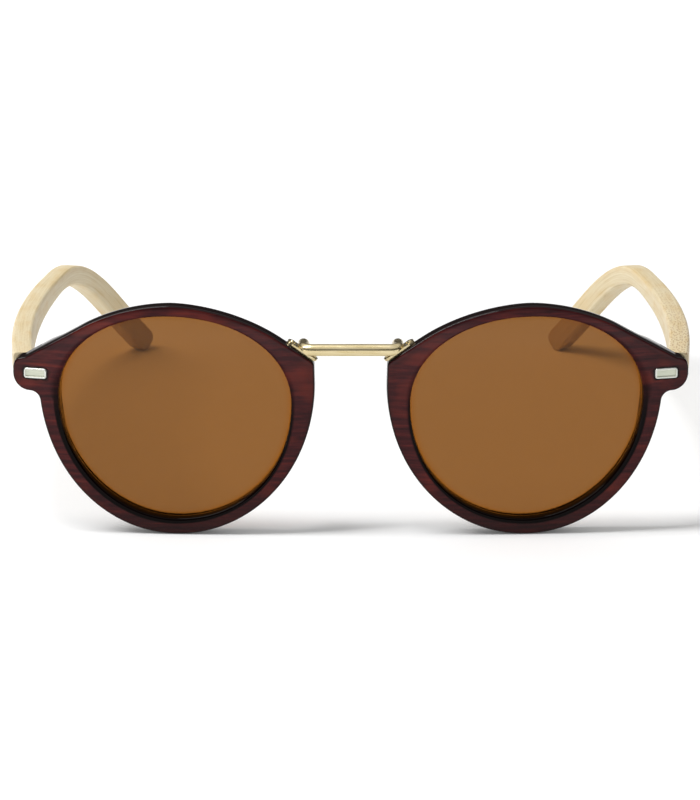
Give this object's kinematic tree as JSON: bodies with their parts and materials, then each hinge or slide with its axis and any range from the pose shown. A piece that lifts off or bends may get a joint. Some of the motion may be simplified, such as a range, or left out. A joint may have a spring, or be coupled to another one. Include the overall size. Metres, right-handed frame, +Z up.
{
  "type": "sunglasses",
  "caption": "Sunglasses with round moulded rims, brown lenses, a metal bridge bar across the top and folding bamboo temples on screwed hinges.",
  "frame": {"origin": "on the table under the middle of the open glasses, between the front and the tips of the temples", "axes": "+X from left to right as seen from the front, so the left side is at -X; the front looks towards -Y; +Z up"},
  "size_m": [0.1494, 0.1448, 0.0503],
  "materials": {
    "rim plastic": "polished, dark red-brown with darker streaks",
    "tinted lens": "brown tinted, polished",
    "gold": "pale gold plating, satin",
    "silver": "satin with a bright bevel",
    "bamboo": "sanded and oiled bamboo",
    "steel": "plain"
  },
  "bodies": {
    "front": {"rim_left": "rim plastic", "rim_right": "rim plastic", "lens_left": "tinted lens", "lens_right": "tinted lens", "bridge_bar": "gold", "bridge_foot_left": "gold", "bridge_foot_right": "gold", "bridge_screws_left": "gold", "bridge_screws_right": "gold", "plaque_left": "silver", "plaque_right": "silver", "front_hinge_left": "gold", "front_hinge_right": "gold", "hinge_screw_left": "steel", "hinge_screw_right": "steel"},
    "temple_l": {"temple_left": "bamboo", "temple_hinge_left": "gold", "temple_screws_left": "steel"},
    "temple_r": {"temple_right": "bamboo", "temple_hinge_right": "gold", "temple_screws_right": "steel"}
  },
  "joints": [
    {"name": "fold_left", "type": "hinge", "parent": "front", "child": "temple_l", "pos_m": [-0.0652, -0.0627, 0.03446], "axis": [0, 0, 1], "range_deg": [-86, 0]},
    {"name": "fold_right", "type": "hinge", "parent": "front", "child": "temple_r", "pos_m": [0.0652, -0.0627, 0.03446], "axis": [0, 0, 1], "range_deg": [0, 75]}
  ]
}
